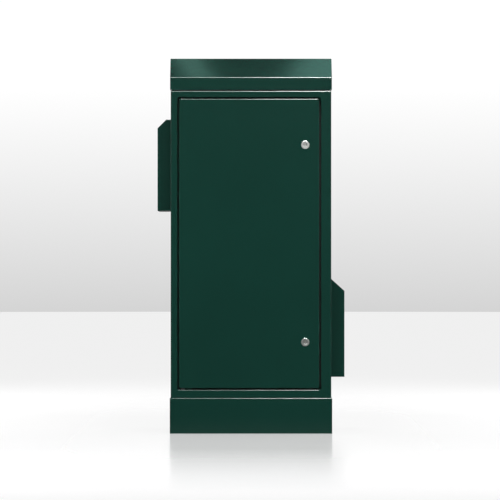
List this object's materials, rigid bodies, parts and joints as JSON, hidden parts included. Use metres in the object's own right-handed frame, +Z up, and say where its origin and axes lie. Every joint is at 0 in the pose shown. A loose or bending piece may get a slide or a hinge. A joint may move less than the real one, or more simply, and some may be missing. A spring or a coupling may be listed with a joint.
{
  "type": "parcel drop box",
  "caption": "Free-standing steel parcel drop box: tilting side hopper under a hood, side collection hatch, locked front door, bevelled lid and plinth.",
  "frame": {"origin": "on the ground at the middle of the footprint", "axes": "+Z up, -Y out of the front door, +X to the right as seen from the front, where the collection hatch is"},
  "size_m": [0.624, 0.406, 1.2499],
  "materials": {
    "green_powder_coat": "satin fine-textured polyester powder coat over folded zinc-coated steel",
    "zinc_plate": "bright zinc plating on steel",
    "blackened_steel": "black phosphated and oiled steel",
    "lock_chrome": "bright chrome plating on die-cast zinc",
    "black_rubber": "matt black EPDM rubber",
    "black_nylon": "matt black nylon"
  },
  "bodies": {
    "root": {"plinth": "green_powder_coat", "base_pan": "zinc_plate", "floor_mat": "black_rubber", "left_side_panel": "green_powder_coat", "right_side_panel": "green_powder_coat", "back_panel": "green_powder_coat", "front_frame": "green_powder_coat", "top_plate": "zinc_plate", "lid_seal": "black_rubber", "lid": "green_powder_coat", "hopper_hood": "green_powder_coat", "hatch_hood": "green_powder_coat", "hopper_seal": "black_rubber", "hatch_seal": "black_rubber", "door_seal": "black_rubber", "door_pivot_blocks": "green_powder_coat", "door_pivot_pins": "blackened_steel", "door_thrust_washer": "black_nylon", "hatch_pivot_supports": "green_powder_coat", "hatch_pivot_pins": "blackened_steel", "hopper_sill": "green_powder_coat", "hopper_pivot_lugs": "green_powder_coat", "hopper_pivot_rod": "blackened_steel", "hopper_buffers": "black_rubber", "hopper_baffle": "zinc_plate", "frame_bolts": "zinc_plate", "lid_bolts": "zinc_plate", "panel_rivets": "zinc_plate", "hood_rivets": "zinc_plate"},
    "door": {"door_panel": "green_powder_coat", "door_pivot_plates": "zinc_plate", "door_bushes": "black_nylon", "door_stiffeners": "zinc_plate", "upper_lock_housing": "lock_chrome", "lower_lock_housing": "lock_chrome", "door_lock_nuts": "zinc_plate"},
    "upper_lock": {"upper_lock_insert": "lock_chrome", "upper_lock_cam": "zinc_plate", "upper_cam_screw": "zinc_plate"},
    "lower_lock": {"lower_lock_insert": "lock_chrome", "lower_lock_cam": "zinc_plate", "lower_cam_screw": "zinc_plate"},
    "hopper": {"hopper_flap": "green_powder_coat", "hopper_tray": "zinc_plate", "hopper_front_cheek": "green_powder_coat", "hopper_rear_cheek": "green_powder_coat", "hopper_stop_pins": "zinc_plate", "hopper_bushes": "black_nylon", "hopper_counterweight": "zinc_plate", "hopper_handle": "green_powder_coat", "handle_screws": "zinc_plate"},
    "hatch": {"hatch_panel": "green_powder_coat", "hatch_pivot_plates": "zinc_plate", "hatch_bushes": "black_nylon", "hatch_lock_housing": "lock_chrome", "hatch_lock_nut": "zinc_plate"},
    "hatch_lock": {"hatch_lock_insert": "lock_chrome", "hatch_lock_cam": "zinc_plate", "hatch_cam_screw": "zinc_plate"}
  },
  "joints": [
    {"name": "door_swing", "type": "hinge", "parent": "root", "child": "door", "pos_m": [-0.227, -0.192, 0.632], "axis": [0, 0, -1], "range_deg": [0, 110]},
    {"name": "upper_lock_turn", "type": "hinge", "parent": "door", "child": "upper_lock", "pos_m": [0.1805, -0.2, 0.96], "axis": [0, -1, 0], "range_deg": [0, 90]},
    {"name": "lower_lock_turn", "type": "hinge", "parent": "door", "child": "lower_lock", "pos_m": [0.1805, -0.2, 0.304], "axis": [0, -1, 0], "range_deg": [0, 90]},
    {"name": "hopper_tilt", "type": "hinge", "parent": "root", "child": "hopper", "pos_m": [-0.28, 0, 0.755], "axis": [0, -1, 0], "range_deg": [0, 38]},
    {"name": "hatch_swing", "type": "hinge", "parent": "root", "child": "hatch", "pos_m": [0.284, 0.132, 0.3299], "axis": [0, 0, 1], "range_deg": [0, 95]},
    {"name": "hatch_lock_turn", "type": "hinge", "parent": "hatch", "child": "hatch_lock", "pos_m": [0.292, -0.112, 0.33], "axis": [-1, 0, 0], "range_deg": [0, 90]}
  ]
}
